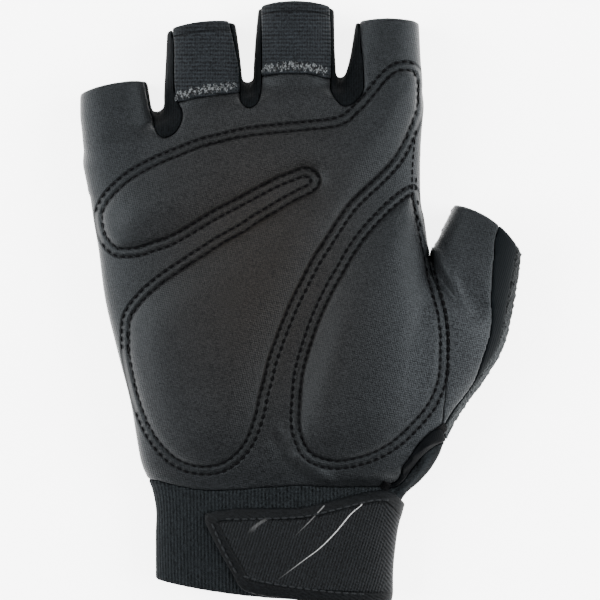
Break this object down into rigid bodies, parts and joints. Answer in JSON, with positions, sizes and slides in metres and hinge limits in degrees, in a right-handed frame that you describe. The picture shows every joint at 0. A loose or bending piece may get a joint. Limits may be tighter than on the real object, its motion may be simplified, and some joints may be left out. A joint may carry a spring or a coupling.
{
  "type": "cycling glove",
  "caption": "Fingerless right-hand cycling glove with a padded leather palm, ribbed pull tabs on the middle stalls, a towelling thumb back and a knitted cuff closed by a hook-and-loop strap.",
  "frame": {"origin": "on the rest face under the middle of the palm, where the back of the hand lies on the surface", "axes": "+Y towards the fingertips, +X towards the thumb, +Z out of the palm"},
  "size_m": [0.129, 0.1742, 0.0289],
  "materials": {
    "palm_leather": "embossed charcoal synthetic leather, matt",
    "pad_leather": "embossed charcoal synthetic leather over padding, matt",
    "tab_weave": "fine ribbed woven tape",
    "stretch_knit": "black stretch knit",
    "back_knit": "black stretch knit",
    "smooth_stretch": "smooth dark stretch fabric",
    "towelling": "grey towelling",
    "cuff_knit": "black fine rib knit",
    "elastic_binding": "black elastic tape",
    "strap_laminate": "black knit laminate with fine grey reflective lines"
  },
  "bodies": {
    "root": {"palm_panel": "palm_leather", "palm_pad": "pad_leather", "thumb_pad": "pad_leather", "ring_pull_tab": "tab_weave", "middle_pull_tab": "tab_weave", "little_ring_fourchette": "stretch_knit", "ring_middle_fourchette": "stretch_knit", "middle_index_fourchette": "stretch_knit", "back_panel": "back_knit", "thumb_panel": "palm_leather", "thumb_side_strip": "smooth_stretch", "thumb_back": "towelling", "cuff": "cuff_knit", "slit_binding": "elastic_binding", "closure_strap": "strap_laminate"}
  },
  "joints": []
}
